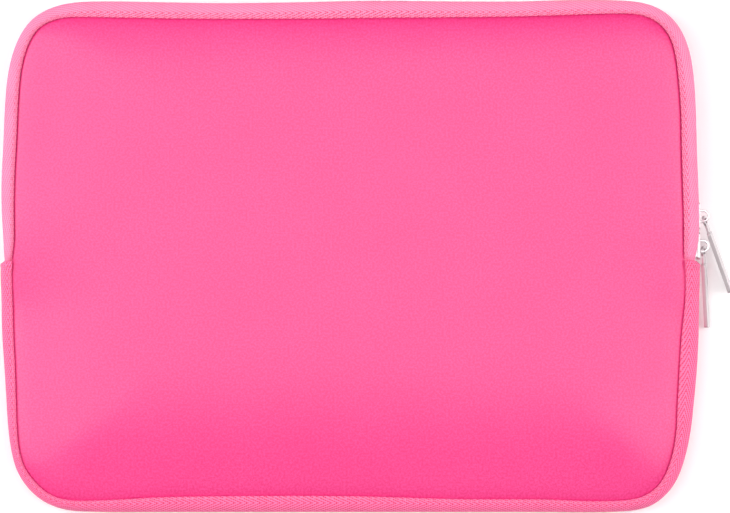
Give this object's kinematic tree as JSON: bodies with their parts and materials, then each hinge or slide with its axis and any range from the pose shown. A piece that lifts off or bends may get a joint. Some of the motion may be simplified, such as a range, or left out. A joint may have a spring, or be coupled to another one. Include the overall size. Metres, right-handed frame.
{
  "type": "laptop sleeve",
  "caption": "Padded foam laptop sleeve with taped edges and a round-the-corner zip with two sliders and long bar pulls.",
  "frame": {"origin": "centre of the flat back face that the sleeve lies on", "axes": "+X to the sleeve's right, +Y to the opening edge, +Z out of the front face"},
  "size_m": [0.3891, 0.27, 0.024],
  "materials": {
    "foam": "matt knit-faced foam",
    "lining": "soft brushed knit",
    "binding": "herringbone twill tape",
    "zip_tape": "woven tape",
    "coil": "satin",
    "thread": "twisted thread",
    "zip_metal": "bright plated"
  },
  "bodies": {
    "sleeve": {"back_panel": "foam", "back_lining": "lining", "front_panel_body": "foam", "front_lining_body": "lining", "back_binding": "binding", "front_binding_ends": "binding", "lower_binding": "binding", "binding_end_tabs": "binding", "back_zip_tape": "zip_tape", "front_zip_tape_ends": "zip_tape", "back_coil": "coil", "front_coil_ends": "coil", "zip_end_stops": "coil", "back_binding_thread": "thread", "front_binding_thread_ends": "thread", "lower_binding_thread": "thread", "end_tab_thread": "thread"},
    "flap": {"front_panel_flap": "foam", "front_lining_flap": "lining", "front_binding_flap": "binding", "front_zip_tape_flap": "zip_tape", "front_coil_flap": "coil", "front_binding_thread_flap": "thread"},
    "lower_slider": {"lower_slider_body": "zip_metal", "lower_slider_bail": "zip_metal"},
    "lower_pull": {"lower_pull": "zip_metal"},
    "upper_slider": {"upper_slider_body": "zip_metal", "upper_slider_bail": "zip_metal"},
    "upper_pull": {"upper_pull": "zip_metal"}
  },
  "joints": [
    {"name": "flap_fold", "type": "hinge", "parent": "sleeve", "child": "flap", "pos_m": [0, 0.034, 0.024], "axis": [1, 0, 0], "range_deg": [0, 150]},
    {"name": "lower_slider_slide", "type": "slide", "parent": "sleeve", "child": "lower_slider", "axis": [0, 1, 0], "range_m": [0, 0.028]},
    {"name": "upper_slider_slide", "type": "slide", "parent": "lower_slider", "child": "upper_slider", "axis": [0, 1, 0], "range_m": [0, 0.036]},
    {"name": "lower_pull_swing", "type": "hinge", "parent": "lower_slider", "child": "lower_pull", "pos_m": [0.1871, 0.0056, 0.0106], "axis": [0, 0, 1], "range_deg": [0, 18]},
    {"name": "upper_pull_swing", "type": "hinge", "parent": "upper_slider", "child": "upper_pull", "pos_m": [0.1871, 0.0215, 0.0106], "axis": [0, 0, 1], "range_deg": [0, 135]}
  ]
}
